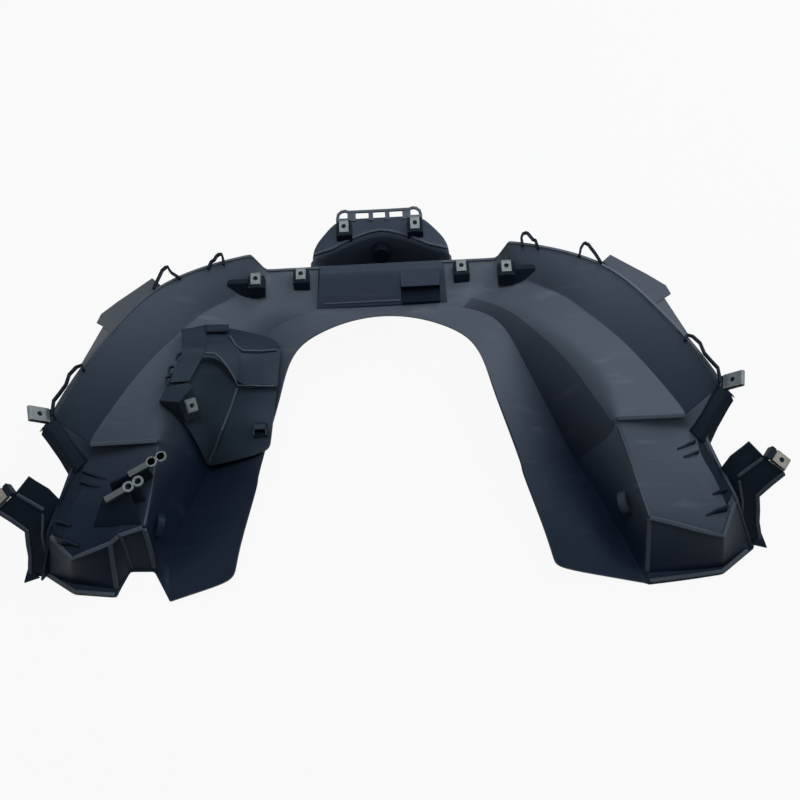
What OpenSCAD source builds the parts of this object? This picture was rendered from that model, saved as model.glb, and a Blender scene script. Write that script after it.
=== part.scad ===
// Belly pan of a motorcycle fairing, lying on its outer face with its ribbed side up.
// One U-shaped moulding carries spring nuts, a side cover and two latch plates.
// X runs across the machine, Y from the leg fronts to the nose, Z up from the floor.

/* [Panel] */
// Width over the two front towers
panel_w = 766; // [700:2:820]
// Length from the leg fronts to the nose rim
panel_l = 418; // [380:2:460]
// Height of the hoops above the floor
panel_h = 106; // [96:1:120]
// Wall of the moulding
wall = 3; // [2.4:0.1:4]
// Height of the upturned edge between the hoops
edge_h = 6; // [3:0.5:10]

/* [Centre box] */
// Width of the box on the centre band
box_w = 130; // [110:1:134]
// Height of the box above the band
box_h = 20; // [16:1:24]
// Width of the recess in the right end of the box
recess_w = 42; // [30:1:50]

/* [Nose] */
// Width of one slot in the nose rim
slot_w = 13; // [8:0.5:15]
// Height of one slot in the nose rim
slot_h = 7; // [4:0.5:9]
// Diameter of the boss in the nose well
boss_d = 20; // [14:1:24]

/* [Fixings] */
// Width of a small spring nut
nut_w = 10; // [9:0.5:12]
// Length of a small spring nut
nut_l = 13; // [12:0.5:16]
// Sheet thickness of every spring nut
nut_t = 1; // [0.8:0.1:1.4]
// Bore of every spring nut
nut_bore = 5; // [4:0.1:6]
// Thickness of the tabs that carry the nuts
tab_t = 2.6; // [2:0.1:3.4]
// Space left between a nut and its tab
nut_gap = 0.2; // [0.15:0.05:0.4]
// Width of the shelf beside an outer band tab
shelf_w = 22; // [12:1:26]
// Height of that shelf
shelf_h = 14; // [10:1:16]
// Width of a shoulder nut
cage_w = 15; // [13:0.5:18]
// Length of a shoulder nut
cage_l = 20; // [18:0.5:24]
// Width of a tower nut
tower_nut_w = 12; // [11:0.5:15]
// Length of a tower nut
tower_nut_l = 15; // [13:0.5:18]
// Depth of the guide walls beside a tab
guide_h = 9; // [6:0.5:11]

/* [Side cover] */
// Wall of the left side cover
cover_t = 3; // [2.4:0.1:3.6]
// Parting gap round the insert of the cover
part_gap = 0.6; // [0.4:0.1:1]
// Height of the cover shell above the panel it sits on
cover_rise = 0.3; // [0.2:0.05:0.6]

/* [Latch] */
// Thickness of a latch plate
latch_t = 1.6; // [1.2:0.1:2.4]
// Outer diameter of a latch plate's eye
eye_d = 11; // [9:0.5:13]
// Bore of a latch plate's eye
eye_bore = 6; // [5:0.1:6.5]

/* [Hidden] */
$fn = 24;

black = [0.17, 0.19, 0.22];
dark = [0.10, 0.12, 0.14];
zinc = [0.55, 0.58, 0.60];
pale = [0.74, 0.70, 0.64];

// The shape is set out at these sizes, and the driving sizes stretch it
plan_w = 766;
plan_l = 418;
plan_h = 106;
mid_y = 9.3;
function at(p) = [p[0] * panel_w / plan_w, (p[1] - mid_y) * panel_l / plan_l, p[2] * panel_h / plan_h];

// Right half of the ribbon. Each row runs across it: inner edge, valley, shoulder,
// crease, outer fold. The rows follow it from the centre to the front of the leg.
bend_rows = [
    [[0, 95, 50], [0, 106, 53], [0, 117, 56], [0, 130, 60], [0, 145, 64]],
    [[38, 90, 50], [44, 105, 53], [50, 118, 57], [60, 132, 61], [74, 146, 64]],
    [[72, 75, 51], [86, 97, 53], [98, 110, 57], [115, 128, 62], [122, 145, 65]],
    [[92, 60, 50], [118, 88, 49], [136, 92, 57], [152, 114, 68], [134, 147, 92]],
    [[103, 36, 49], [134, 62, 44], [158, 64, 66], [186, 97, 73], [176, 137, 94]],
    [[109, 7, 48], [144, 38, 36], [184, 35, 72], [209, 67, 78], [235, 112, 95]],
    [[116, -18, 45], [157, 12, 27], [203, 7, 75], [234, 39, 81], [272, 60, 96]],
    [[123, -42, 42], [170, -18, 16], [216, -20, 77], [258, 2, 83], [301, 16, 95]],
    [[130, -70, 37], [183, -50, 9], [222, -44, 77], [284, -47, 83], [322, -26, 91]]];
// Rows of the leg take two more points across the pocket, between shoulder and crease.
// They are the ledge, its foot, the pocket floor, the top and foot of its front, the flange.
leg_rows = [
    [[133, -80, 35], [187, -57, 7], [222, -50, 76], [243, -51, 78],
        [260, -52, 80], [287, -53, 82], [322, -28, 90]],
    [[133, -84, 34], [188, -61, 7], [224, -53, 73], [245, -56, 71],
        [262, -58, 69], [288, -61, 68], [305, -72, 67]],
    [[140, -108, 29], [206, -93, 3], [234, -98, 60], [256, -99, 62],
        [272, -100, 63], [290, -100, 63], [312, -92, 62]],
    [[150, -142, 22], [226, -142, 3], [243, -145, 57], [264, -151, 56],
        [286, -158, 54], [312, -165, 50], [328, -132, 52]],
    [[156, -170, 17], [240, -181, 3], [246, -184, 4], [268, -184, 4],
        [292, -184, 4], [320, -182, 4], [349, -164, 6]],
    [[158, -178, 16], [241, -193, 3], [247, -196, 3], [268, -194, 3],
        [292, -192, 3], [319, -189, 3], [352, -166, 5]]];
// The left pocket has two fronts, the inner one set back, and the strip runs on beside it
left_leg_rows = concat([for (i = [0:1]) leg_rows[i]], [
    [[140, -108, 29], [205, -92, 3], [230, -98, 58], [252, -98, 60],
        [266, -100, 60], [290, -103, 60], [312, -92, 62]],
    [[150, -142, 22], [221, -140, 3], [234, -131, 57], [257, -137, 56],
        [268, -143, 51], [304, -156, 49], [327, -132, 52]],
    [[154, -164, 19], [224, -160, 3], [236, -157, 4], [260, -156, 4],
        [273, -176, 4], [318, -168, 4], [348, -156, 7]],
    [[156, -176, 17], [220, -190, 3], [237, -160, 3], [261, -159, 3],
        [273, -184, 3], [315, -179, 3], [349, -157, 5]]]);
// Share of the next stretch that each rounded corner takes up
valley_r = 0.05;
shoulder_r = 0.3;
crease_r = 0.12;
// Where the two points of a bend row lie between shoulder and crease
mid_share = [0.36, 0.62];
// Stretches that a smooth curve makes of each space between two bend rows
row_steps = 3;

function mix(a, b, t) = a + (b - a) * t;
function unit(v) = v / norm(v);
function curve(a, b, c, d, t) = 0.5 * (2 * b + (c - a) * t + (2 * a - 5 * b + 4 * c - d) * t * t
    + (3 * b - 3 * c + d - a) * t * t * t);
function row_at(rows, i) = i < 0 ? 2 * rows[0] - rows[1]
    : i > len(rows) - 1 ? 2 * rows[len(rows) - 1] - rows[len(rows) - 2] : rows[i];
function smooth_rows(rows, steps) = [for (i = [0:len(rows) - 2], s = [0:steps - 1])
    curve(row_at(rows, i - 1), rows[i], rows[i + 1], row_at(rows, i + 2), s / steps)];
function widen(r) = [r[0], r[1], r[2], mix(r[2], r[3], mid_share[0]), mix(r[2], r[3], mid_share[1]),
    r[3], r[4]];
function corner(a, b, c, r, n) = let (p = mix(b, a, r), q = mix(b, c, r))
    [for (k = [0:n]) let (t = k / n) (1 - t) * (1 - t) * p + 2 * t * (1 - t) * b + t * t * q];
function across(r) = concat([r[0]], corner(r[0], r[1], r[2], valley_r, 2),
    corner(r[1], r[2], r[3], shoulder_r, 3), [r[4]], corner(r[4], r[5], r[6], crease_r, 2),
    [r[6], r[6] + [0, 1, edge_h]]);
function flip(p) = [-p[0], p[1], p[2]];

function half_grid(leg) = [for (r = concat(smooth_rows([for (b = bend_rows) widen(b)], row_steps), leg))
    across([for (q = r) at(q)])];
right_half = half_grid(leg_rows);
left_half = half_grid(left_leg_rows);
ribbon = concat([for (i = [len(left_half) - 1:-1:1]) [for (p = left_half[i]) flip(p)]], right_half);

// Normal of a grid at one of its points, from its neighbours along and across
function grid_normal(g, i, j) = let (
    n = len(g) - 1, m = len(g[0]) - 1,
    along = g[min(i + 1, n)][j] - g[max(i - 1, 0)][j],
    over = g[i][min(j + 1, m)] - g[i][max(j - 1, 0)]) unit(cross(along, over));

// Closed shell under a grid of points, with the wall set off along the normals
module shell(g, t) {
    n = len(g);
    m = len(g[0]);
    top = [for (r = g, p = r) p];
    under = [for (i = [0:n - 1], j = [0:m - 1]) g[i][j] - t * grid_normal(g, i, j)];
    k = n * m;
    polyhedron(points = concat(top, under), faces = concat(
        [for (i = [0:n - 2], j = [0:m - 2], a = i * m + j) each [[a, a + 1, a + m + 1],
            [a, a + m + 1, a + m]]],
        [for (i = [0:n - 2], j = [0:m - 2], a = k + i * m + j) each [[a, a + m + 1, a + 1],
            [a, a + m, a + m + 1]]],
        [for (j = [0:m - 2]) each [[j, k + j, k + j + 1], [j, k + j + 1, j + 1]]],
        [for (j = [0:m - 2], a = (n - 1) * m + j) each [[a, a + 1, k + a + 1], [a, k + a + 1, k + a]]],
        [for (i = [0:n - 2], a = i * m) each [[a, a + m, k + a + m], [a, k + a + m, k + a]]],
        [for (i = [0:n - 2], a = i * m + m - 1) each [[a, k + a, k + a + m], [a, k + a + m, a + m]]]));
}

// Flat plate from an outline in space, with its thickness on the far side
module plate(outline, t) {
    n = len(outline);
    up = unit(cross(outline[1] - outline[0], outline[2] - outline[0]));
    low = [for (p = outline) p - t * up];
    polyhedron(points = concat(outline, low), faces = concat(
        [for (i = [1:n - 2]) [0, i + 1, i]],
        [for (i = [1:n - 2]) [n, n + i, n + i + 1]],
        [for (i = [0:n - 1]) each [[i, (i + 1) % n, n + (i + 1) % n], [i, n + (i + 1) % n, n + i]]]));
}

// Bar with a hexagon section swept through a list of points
module bar(points, d) {
    n = len(points);
    sides = 6;
    ring = [for (i = [0:n - 1]) let (
        along = unit(points[min(i + 1, n - 1)] - points[max(i - 1, 0)]),
        over = unit(cross(along, [0.3, 0.2, 1])), up = cross(along, over))
        for (k = [0:sides - 1]) points[i] + d / 2 * (cos(60 * k) * over + sin(60 * k) * up)];
    polyhedron(points = ring, faces = concat([[for (k = [0:sides - 1]) k]],
        [[for (k = [sides - 1:-1:0]) (n - 1) * sides + k]],
        [for (i = [0:n - 2], k = [0:sides - 1]) let (a = i * sides, b = (k + 1) % sides)
            each [[a + k, a + sides + k, a + sides + b], [a + k, a + sides + b, a + b]]]));
}

module both_sides() {
    children();
    mirror([1, 0, 0]) children();
}

// Lugs of the mating panel's hooks, standing on the outer fold
hoops = [[[153, 143, 94], [155, 152, 103], [161, 153, 104], [166, 147, 102], [170, 140, 95]],
    [[210, 127, 95], [215, 136, 104], [221, 133, 104], [227, 126, 100], [231, 116, 95]],
    [[291, 30, 95], [297, 26, 104], [303, 16, 103], [306, 4, 100], [313, -7, 98], [317, -17, 93]]];
hoop_d = 4;

// Side flap outside the fold, row by row from the rear
flap = [[[224, 119, 95], [247, 134, 80]], [[240, 104, 95], [279, 120, 66]], [[258, 80, 95], [303, 108, 57]],
    [[276, 54, 95], [301, 72, 70]], [[292, 30, 94], [300, 38, 87]]];

// Nose tray. Each row runs from the band over the well and the plate to the rim.
nose_rows = [
    [[74, 146, 62], [74, 150, 60], [75, 163, 58], [75, 168, 58], [74, 178, 58]],
    [[62, 146, 63], [62, 151, 36], [62, 160, 34], [60, 167, 60], [60, 198, 66]],
    [[45, 146, 63], [44, 152, 3], [44, 166, 3], [43, 174, 61], [47, 213, 72]],
    [[22, 146, 64], [22, 152, 3], [22, 172, 3], [22, 184, 62], [24, 214, 73]],
    [[0, 146, 64], [0, 152, 3], [0, 176, 3], [0, 189, 63], [0, 215, 73]]];
boss_seat = [0, 185, 38];
boss_l = 14;
slot_step = 18;
slot_y = 208;
end_hole_x = 38.5;
end_hole_d = 8;

// Corners of the centre box: foot of its front, front and back of its top
box_foot_y = 103;
box_front_y = 126;
box_back_y = 138;
band_z = 54;

module centre_box(inset) {
    w = box_w / 2 - inset;
    hull() {
        for (x = [-w, w]) {
            translate(at([x, box_foot_y, band_z - 8]) + [0, inset, -3 * inset]) cube(0.1);
            translate(at([x, box_front_y, band_z]) + [0, inset, box_h - inset]) cube(0.1);
            translate(at([x, box_back_y, band_z]) + [0, -inset, box_h - inset]) cube(0.1);
            translate(at([x, box_back_y + 4, band_z - 8]) + [0, -inset, -3 * inset]) cube(0.1);
        }
    }
}

module box_recess() {
    translate(at([box_w / 2, box_foot_y, band_z]) + [-recess_w - wall, 0, 4]) cube([recess_w, 26, 9]);
}

// Spring nut: sheet folded over a tab, with a bore through both leaves.
// The tab's free end points to +Y and the hole centre is the origin.
module spring_nut(w, l) {
    inner = tab_t / 2 + nut_gap;
    difference() {
        union() {
            for (s = [0, 1]) mirror([0, 0, s])
                translate([-w / 2, -l / 2, inner]) cube([w, l - inner, nut_t]);
            translate([0, l / 2 - inner, 0]) rotate([0, 90, 0]) difference() {
                cylinder(r = inner + nut_t, h = w, center = true);
                cylinder(r = inner, h = w + 2, center = true);
                translate([0, -2 * l, 0]) cube([4 * l, 4 * l, 4 * l], center = true);
            }
            translate([0, 0, -inner - 2 * nut_t]) cylinder(d = nut_bore + 2 * nut_t, h = nut_t);
        }
        cylinder(d = nut_bore, h = 8 * tab_t, center = true);
    }
}

// Tab that a spring nut slides on, with a foot of the given depth behind it
module tab(w, l, foot) {
    wide = w - 1;
    difference() {
        union() {
            translate([-wide / 2, -l / 2 - 3, -tab_t / 2]) cube([wide, l - nut_gap - tab_t / 2 + 2, tab_t]);
            hull() {
                translate([-wide / 2, -l / 2 - 6, -tab_t / 2]) cube([wide + 2, 4, tab_t]);
                translate([-wide / 2 - 1, -l / 2 - 5 , -foot]) cube([wide + 4, 5, tab_t]);
            }
        }
        cylinder(d = nut_bore + 1, h = 4 * tab_t, center = true);
    }
}

// Hollow shelf that runs on beside the outer band tab, open towards the nose
module band_shelf() {
    near = nut_w / 2 + nut_gap + 1;
    front = -nut_l / 2 - 6;
    translate([near, front, -tab_t / 2]) cube([shelf_w, nut_l, tab_t]);
    translate([near, front, -shelf_h]) cube([shelf_w, tab_t, shelf_h]);
    translate([-near, front, -shelf_h]) cube([2 * near, tab_t, shelf_h]);
    for (x = [near, near + shelf_w - tab_t]) translate([x, front, -shelf_h]) cube([tab_t, nut_l, shelf_h]);
}

// Walls that guide a nut onto its tab, clear of it on both sides
module guides(w, l) {
    for (x = [-w / 2 - nut_gap - tab_t, w / 2 + nut_gap])
        translate([x, -l / 2 - 5, -guide_h - tab_t]) cube([tab_t, l + 3, guide_h]);
}

band_outer = [131, 126, 82];
band_inner = [85, 136, 72];
nose_seat = [38.5, 193, 74];
shoulder_seat = [333, -28, 100];
tower_seat = [364, -107, 88];
// Depths of the feet behind the tabs
small_foot = 12;
tower_foot = 8;
shoulder_foot = 6;

module place_band_outer() { translate(at(band_outer)) rotate([8, 0, 0]) children(); }
module place_band_inner() { translate(at(band_inner)) rotate([8, 0, 0]) children(); }
module place_nose() { translate(at(nose_seat)) rotate([16, 0, 0]) children(); }
module place_shoulder() {
    translate(at(shoulder_seat)) rotate([0, 0, -12]) rotate([0, -48, 0]) rotate([0, 0, -90]) children();
}
module place_tower() {
    translate(at(tower_seat)) rotate([0, 0, -38]) rotate([0, 18, 0]) rotate([0, 0, -90]) children();
}

// Channel from the pocket up to the shoulder nut. Each row runs across it.
strut_rows = [
    [[314, -38, 85], [318, -38, 90], [325, -42, 90], [329, -47, 85]],
    [[302, -50, 76], [306, -53, 81], [312, -58, 81], [317, -62, 75]],
    [[288, -62, 64], [293, -68, 70], [300, -75, 69], [307, -79, 60]]];
module strut() {
    shell([for (r = strut_rows) [for (p = r) at(p)]], wall);
    hull() {
        translate(at(strut_rows[0][1])) sphere(d = wall);
        translate(at(strut_rows[0][2])) sphere(d = wall);
        place_shoulder() translate([0, -cage_l / 2 - wall, -wall])
            cube([cage_w / 2, wall, wall], center = true);
    }
}

// Front tower. Its face narrows from the nut down to the foot of the pocket,
// and a fin stands behind it. Each row runs across, from the nut down.
tower_face = [
    [[350, -103, 87], [369, -117, 80]],
    [[329, -112, 66], [349, -129, 53]],
    [[335, -130, 45], [353, -138, 38]],
    [[336, -151, 15], [357, -152, 18]],
    [[336, -160, 4], [362, -159, 5]]];
tower_fin = [
    [[337, -89, 93], [350, -103, 87]],
    [[322, -97, 78], [330, -113, 66]],
    [[315, -104, 56], [336, -131, 45]],
    [[322, -128, 30], [336, -151, 15]],
    [[326, -150, 5], [336, -160, 4]]];
tower_side = [
    [[369, -117, 80], [363, -106, 81]],
    [[349, -129, 53], [347, -113, 58]],
    [[353, -138, 38], [344, -125, 38]],
    [[357, -152, 18], [346, -140, 18]],
    [[362, -159, 5], [348, -150, 5]]];
tower_spur = [[350, -161, 7], [366, -165, 5], [360, -152, 14]];
module tower() {
    for (rows = [tower_face, tower_fin, tower_side]) shell([for (r = rows) [for (p = r) at(p)]], wall);
    plate([for (p = tower_spur) at(p)], wall);
}

// Bored hook on the inner wall of a pocket
hook_seat = [228, -116, 40];
hook_d = 13;
hook_bore = 6;
hook_w = 8;
hook_foot = 24;
module boss_hook() {
    translate(at(hook_seat)) rotate([0, 90, 8]) difference() {
        union() {
            cylinder(d = hook_d, h = hook_w, center = true);
            translate([0, -hook_d / 2, -hook_w / 2]) cube([hook_foot, hook_d, hook_w]);
        }
        cylinder(d = hook_bore, h = 2 * hook_w, center = true);
    }
}

// Left side cover, row by row from the rear, from the arch edge outwards: the seam on the
// panel, the top of the rear wall, the step and its foot, the scoop with its ridge, the front seam
cover_rows = [
    [[112, 69, 53], [136, 75, 58], [159, 76, 71], [182, 73, 78], [205, 68, 84]],
    [[107, 55, 57], [142, 41, 82], [154, 56, 86], [174, 54, 88], [199, 40, 92]],
    [[110, 12, 57], [145, 6, 75], [156, 23, 83], [171, 37, 87], [205, 26, 90]],
    [[111, 9, 53], [148, 4, 67], [160, 22, 73], [177, 35, 81], [211, 6, 86]],
    [[115, -26, 49], [165, -33, 56], [180, -9, 62], [190, 5, 77], [217, 2, 85]],
    [[120, -57, 46.5], [186, -56, 17], [194, -37, 45], [202, -24, 69], [222, -13, 84.5]]];
adapter_outline = [[226, 3], [193, 7], [180, 32], [177, 52], [173, 57], [155, 59], [148, 86], [226, 86]];
block_top = [[221, -14, 88], [215, 0, 90], [193, 3, 92], [188, -1, 91], [201, -17, 90]];
block_foot = [[184, -20, 74], [199, -27, 75], [219, -12, 85], [214, 2, 84], [191, 4, 78]];
// Foot and height of the cut that parts the adapter from the cover
adapter_low = 40;
adapter_reach = 80;
catch_place = [127, -36, 51];
catch_size = [14, 12, 9];
// Middle of the block's slanted face, and the directions up it and out of it
cover_nut_seat = [193, -16, 82];
cover_nut_up = unit([-0.155, 0.737, 0.658]);
cover_nut_out = unit([0.55, -0.49, 0.68]);
cover_nut_lift = 7;

module cover_shell() {
    shell([for (r = [len(cover_rows) - 1:-1:0]) [for (p = cover_rows[r]) flip(at(p)) + [0, 0, cover_rise]]],
        cover_t);
}
module adapter_prism(inset) {
    translate([0, 0, adapter_low]) linear_extrude(height = adapter_reach) offset(delta = -inset)
        polygon([for (p = adapter_outline) let (q = flip(at([p[0], p[1], 0]))) [q[0], q[1]]]);
}
module clip_block() {
    hull() for (p = concat(block_top, block_foot)) translate(flip(at(p)) + [0, 0, cover_rise]) cube(0.5);
}
module catch_block() {
    translate(flip(at(catch_place))) rotate([8, 0, 0]) difference() {
        cube(catch_size, center = true);
        translate([0, -cover_t, -1]) cube(catch_size - [cover_t, 0, cover_t], center = true);
    }
}
module place_cover_nut() {
    z = cover_nut_out;
    x = unit(cross(z, cover_nut_up));
    y = cross(z, x);
    o = flip(at(cover_nut_seat)) + cover_nut_lift * z;
    multmatrix([[x[0], y[0], z[0], o[0]], [x[1], y[1], z[1], o[1]], [x[2], y[2], z[2], o[2]]]) children();
}

// Latch arms on the left pocket: place of the first outer eye, step to the second, direction of the arm
latch_seat = [-214, -74, 90];
latch_step = [-20, -24, 0];
latch_turn = 30;
latch_l = 34;
arm_foot_z = 50;

module latch_plate() {
    pitch = eye_d * 0.9;
    difference() {
        union() {
            translate([-latch_l, -eye_d * 0.4, 0]) cube([latch_l, eye_d * 0.8, latch_t]);
            for (x = [0, -pitch]) translate([x, 0, 0]) cylinder(d = eye_d, h = latch_t);
        }
        for (x = [0, -pitch]) translate([x, 0, -1]) cylinder(d = eye_bore, h = latch_t + 2);
    }
}
module place_latch(i) { translate(at(latch_seat) + i * latch_step) rotate([0, 0, latch_turn]) children(); }
module latch_arm(i) {
    reach = latch_l - 2 * eye_d;
    drop = at(latch_seat)[2] - at([0, 0, arm_foot_z])[2];
    place_latch(i) hull() {
        translate([-latch_l, -eye_d * 0.4, -wall - nut_gap]) cube([reach, eye_d * 0.8, wall]);
        translate([-latch_l, -wall / 2, -drop]) cube([reach * 0.6, wall, 1]);
    }
}

module main_panel() {
    color(black) difference() {
        union() {
            shell(ribbon, wall);
            shell(concat([for (i = [0:len(nose_rows) - 2]) [for (p = nose_rows[i]) flip(at(p))]],
                [for (i = [len(nose_rows) - 1:-1:0]) [for (p = nose_rows[i]) at(p)]]), wall);
            centre_box(0);
            both_sides() {
                shell([for (r = flap) [for (p = r) at(p)]], wall - 0.6);
                for (h = hoops) bar([for (p = h) at(p)], hoop_d);
                place_band_outer() {
                    tab(nut_w, nut_l, shelf_h);
                    band_shelf();
                }
                place_band_inner() {
                    tab(nut_w, nut_l, small_foot);
                    guides(nut_w, nut_l);
                }
                place_nose() {
                    tab(nut_w, nut_l, small_foot);
                    guides(nut_w, nut_l);
                }
                place_shoulder() tab(cage_w, cage_l, shoulder_foot);
                place_tower() tab(tower_nut_w, tower_nut_l, tower_foot);
                strut();
                tower();
                boss_hook();
            }
            for (i = [0, 1]) latch_arm(i);
            translate(at(boss_seat)) rotate([78, 0, 0]) cylinder(d = boss_d, h = boss_l);
        }
        centre_box(wall);
        box_recess();
        for (i = [-1:1]) translate(at([i * slot_step, slot_y, 60])) translate([-slot_w / 2, -slot_h / 2, 0])
            cube([slot_w, slot_h, 30]);
        both_sides() translate(at([end_hole_x, slot_y, 60])) cylinder(d = end_hole_d, h = 30);
    }
}

module left_side_cover() {
    color(dark) {
        difference() {
            union() {
                cover_shell();
                clip_block();
                catch_block();
            }
            adapter_prism(0);
        }
        place_cover_nut() tab(nut_w, nut_l, tower_foot);
    }
}
module cover_insert() {
    color(black) intersection() {
        cover_shell();
        adapter_prism(part_gap);
    }
}
module cover_spring_nut() { color(zinc) place_cover_nut() spring_nut(nut_w, nut_l); }
module upper_latch_plate() { color(zinc) place_latch(0) latch_plate(); }
module lower_latch_plate() { color(zinc) place_latch(1) latch_plate(); }
module band_nut_left_outer() { color(zinc) mirror([1, 0, 0]) place_band_outer() spring_nut(nut_w, nut_l); }
module band_nut_left_inner() { color(zinc) mirror([1, 0, 0]) place_band_inner() spring_nut(nut_w, nut_l); }
module band_nut_right_inner() { color(zinc) place_band_inner() spring_nut(nut_w, nut_l); }
module band_nut_right_outer() { color(zinc) place_band_outer() spring_nut(nut_w, nut_l); }
module nose_nut_left() { color(zinc) mirror([1, 0, 0]) place_nose() spring_nut(nut_w, nut_l); }
module nose_nut_right() { color(zinc) place_nose() spring_nut(nut_w, nut_l); }
module shoulder_nut_left() { color(zinc) mirror([1, 0, 0]) place_shoulder() spring_nut(cage_w, cage_l); }
module shoulder_nut_right() { color(zinc) place_shoulder() spring_nut(cage_w, cage_l); }
module tower_nut_left() { color(pale) mirror([1, 0, 0]) place_tower() spring_nut(tower_nut_w, tower_nut_l); }
module tower_nut_right() { color(pale) place_tower() spring_nut(tower_nut_w, tower_nut_l); }

main_panel();
left_side_cover();
cover_insert();
cover_spring_nut();
band_nut_left_outer();
band_nut_left_inner();
band_nut_right_inner();
band_nut_right_outer();
nose_nut_left();
nose_nut_right();
shoulder_nut_left();
shoulder_nut_right();
tower_nut_left();
tower_nut_right();
upper_latch_plate();
lower_latch_plate();
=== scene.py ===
import math

import bmesh
import bpy
from mathutils import Matrix, Vector


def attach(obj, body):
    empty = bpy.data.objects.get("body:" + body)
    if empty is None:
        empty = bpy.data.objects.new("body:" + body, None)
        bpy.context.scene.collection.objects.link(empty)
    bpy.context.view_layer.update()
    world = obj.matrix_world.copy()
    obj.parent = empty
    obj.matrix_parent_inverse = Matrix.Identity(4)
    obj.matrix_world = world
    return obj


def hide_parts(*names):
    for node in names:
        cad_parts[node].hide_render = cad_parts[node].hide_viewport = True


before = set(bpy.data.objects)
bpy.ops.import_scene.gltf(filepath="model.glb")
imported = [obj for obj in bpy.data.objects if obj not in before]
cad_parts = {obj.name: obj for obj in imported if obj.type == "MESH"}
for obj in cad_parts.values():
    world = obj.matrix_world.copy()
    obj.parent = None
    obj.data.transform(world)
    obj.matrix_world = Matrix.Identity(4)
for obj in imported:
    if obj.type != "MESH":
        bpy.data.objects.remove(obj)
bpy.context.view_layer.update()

# The photograph's viewpoint: high over the leg fronts, level with the middle of the part,
# and turned a little in the picture. The principal ray meets the part just behind its pockets.
view_azimuth = math.radians(1.72)
view_height = math.radians(64.0)
view_roll = math.radians(4.38)
view_distance = 0.9524
view_target = Vector((0.0, -0.0193, 0.060))
view_offset = (-0.0141, 0.0010)
sensor_width = 36.0
lens_length = 42.75
back = Vector((math.sin(view_azimuth) * math.cos(view_height),
               -math.cos(view_azimuth) * math.cos(view_height), math.sin(view_height)))
level = Vector((math.cos(view_azimuth), math.sin(view_azimuth), 0.0))
rise = back.cross(level)
right = math.cos(view_roll) * level - math.sin(view_roll) * rise
up = math.sin(view_roll) * level + math.cos(view_roll) * rise
camera_data = bpy.data.cameras.new("camera")
camera_data.lens = lens_length
camera_data.sensor_width = sensor_width
camera_data.clip_start = 0.01
camera = bpy.data.objects.new("camera", camera_data)
camera_place = view_target - (right * view_offset[0] + up * view_offset[1] - back * view_distance)
camera.matrix_world = Matrix.Translation(camera_place) @ Matrix((right, up, back)).transposed().to_4x4()
bpy.context.scene.collection.objects.link(camera)
bpy.context.scene.camera = camera

# Soft studio light: four square lamps of one size, the strongest from behind on the right, one above
# and weaker ones at both sides. A pale world fills the shadows and is plain white where it is seen.
lamp_size = 0.8
lamp_aim = Vector((0.0, 0.0, 0.04))


def seen_directly(nodes, links):
    """1 for camera, glossy and transmission rays, 0 for the light that falls on the part."""
    ray = nodes.new("ShaderNodeLightPath")
    sight = ray.outputs["Is Camera Ray"]
    for kind in ("Is Glossy Ray", "Is Transmission Ray"):
        either = nodes.new("ShaderNodeMath")
        either.operation = "MAXIMUM"
        links.new(sight, either.inputs[0])
        links.new(ray.outputs[kind], either.inputs[1])
        sight = either.outputs["Value"]
    return sight


bpy.context.scene.view_settings.view_transform = "Standard"
world = bpy.data.worlds.new("studio")
bpy.context.scene.world = world
world.use_nodes = True
world_nodes = world.node_tree.nodes
world_links = world.node_tree.links
sky = world_nodes["Background"]
sky.inputs["Color"].default_value = (0.72, 0.86, 1.0, 1.0)
sky.inputs["Strength"].default_value = 0.10
seen = world_nodes.new("ShaderNodeBackground")
seen.inputs["Color"].default_value = (1.0, 1.0, 1.0, 1.0)
seen.inputs["Strength"].default_value = 1.0
choice = world_nodes.new("ShaderNodeMixShader")
world_links.new(seen_directly(world_nodes, world_links), choice.inputs["Fac"])
world_links.new(sky.outputs["Background"], choice.inputs[1])
world_links.new(seen.outputs["Background"], choice.inputs[2])
world_links.new(choice.outputs["Shader"], world_nodes["World Output"].inputs["Surface"])
for lamp_name, lamp_place, lamp_power in (
        ("key_lamp", (0.80, 0.80, 0.90), 12.0), ("top_lamp", (0.0, 0.20, 1.40), 10.0),
        ("right_lamp", (1.10, 0.0, 0.90), 3.5), ("left_lamp", (-1.10, 0.0, 0.90), 2.5)):
    lamp_data = bpy.data.lights.new(lamp_name, "AREA")
    lamp_data.shape = "SQUARE"
    lamp_data.size = lamp_size
    lamp_data.energy = lamp_power
    lamp = bpy.data.objects.new(lamp_name, lamp_data)
    lamp.location = lamp_place
    lamp.rotation_euler = (lamp_aim - Vector(lamp_place)).to_track_quat("-Z", "Y").to_euler()
    bpy.context.scene.collection.objects.link(lamp)

# Plain floor that the part lies on. It reads as white to the camera and in reflections, through a
# glow that only those rays meet, and its mid-grey matt side keeps the part's soft shadow.
floor_half = 3.0
floor_drop = 0.0006
glow_share = 0.93
floor_mesh = bmesh.new()
bmesh.ops.create_grid(floor_mesh, x_segments=1, y_segments=1, size=floor_half)
bmesh.ops.translate(floor_mesh, verts=floor_mesh.verts, vec=(0.0, 0.0, -floor_drop))
floor_data = bpy.data.meshes.new("floor")
floor_mesh.to_mesh(floor_data)
floor_mesh.free()
floor = bpy.data.objects.new("floor", floor_data)
bpy.context.scene.collection.objects.link(floor)
floor_paint = bpy.data.materials.new("floor_white")
floor_paint.use_nodes = True
floor_nodes = floor_paint.node_tree.nodes
floor_links = floor_paint.node_tree.links
matt = floor_nodes["Principled BSDF"]
matt.inputs["Base Color"].default_value = (0.20, 0.22, 0.26, 1.0)
matt.inputs["Roughness"].default_value = 0.9
glow = floor_nodes.new("ShaderNodeEmission")
glow.inputs["Color"].default_value = (1.0, 1.0, 1.0, 1.0)
glow.inputs["Strength"].default_value = 1.0
seen_share = floor_nodes.new("ShaderNodeMath")
seen_share.operation = "MULTIPLY"
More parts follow.
